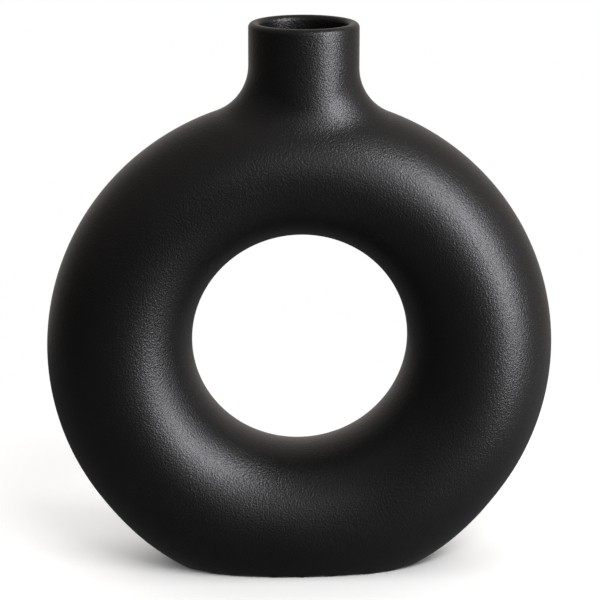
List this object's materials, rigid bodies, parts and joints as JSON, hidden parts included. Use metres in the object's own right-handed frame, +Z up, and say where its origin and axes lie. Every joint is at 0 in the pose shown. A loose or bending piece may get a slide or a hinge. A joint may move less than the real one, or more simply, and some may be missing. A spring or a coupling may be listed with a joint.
{
  "type": "donut vase",
  "caption": "Ring-shaped ceramic vase with a round hole, a short straight neck with a rounded lip and a flat foot, for a few stems or dried flowers.",
  "frame": {"origin": "middle of the flat foot, on the table", "axes": "+Z up along the neck, X across the ring's width, the ring's hole runs along Y, front is -Y"},
  "size_m": [0.2006, 0.062, 0.2187],
  "materials": {
    "stoneware": "bare dark stoneware, fine sandy grain",
    "luting_slip": "fired clay slip",
    "matt_glaze": "matt black glaze with a fine leathery grain",
    "liner_glaze": "satin black liner glaze"
  },
  "bodies": {
    "root": {"front_shell": "stoneware", "rear_shell": "stoneware", "neck_collar": "stoneware", "foot_slab": "stoneware", "left_seam_slip": "luting_slip", "right_seam_slip": "luting_slip", "hole_seam_slip": "luting_slip", "neck_slip": "luting_slip", "foot_slip": "luting_slip", "glaze_coat": "matt_glaze", "liner_glaze": "liner_glaze"}
  },
  "joints": []
}
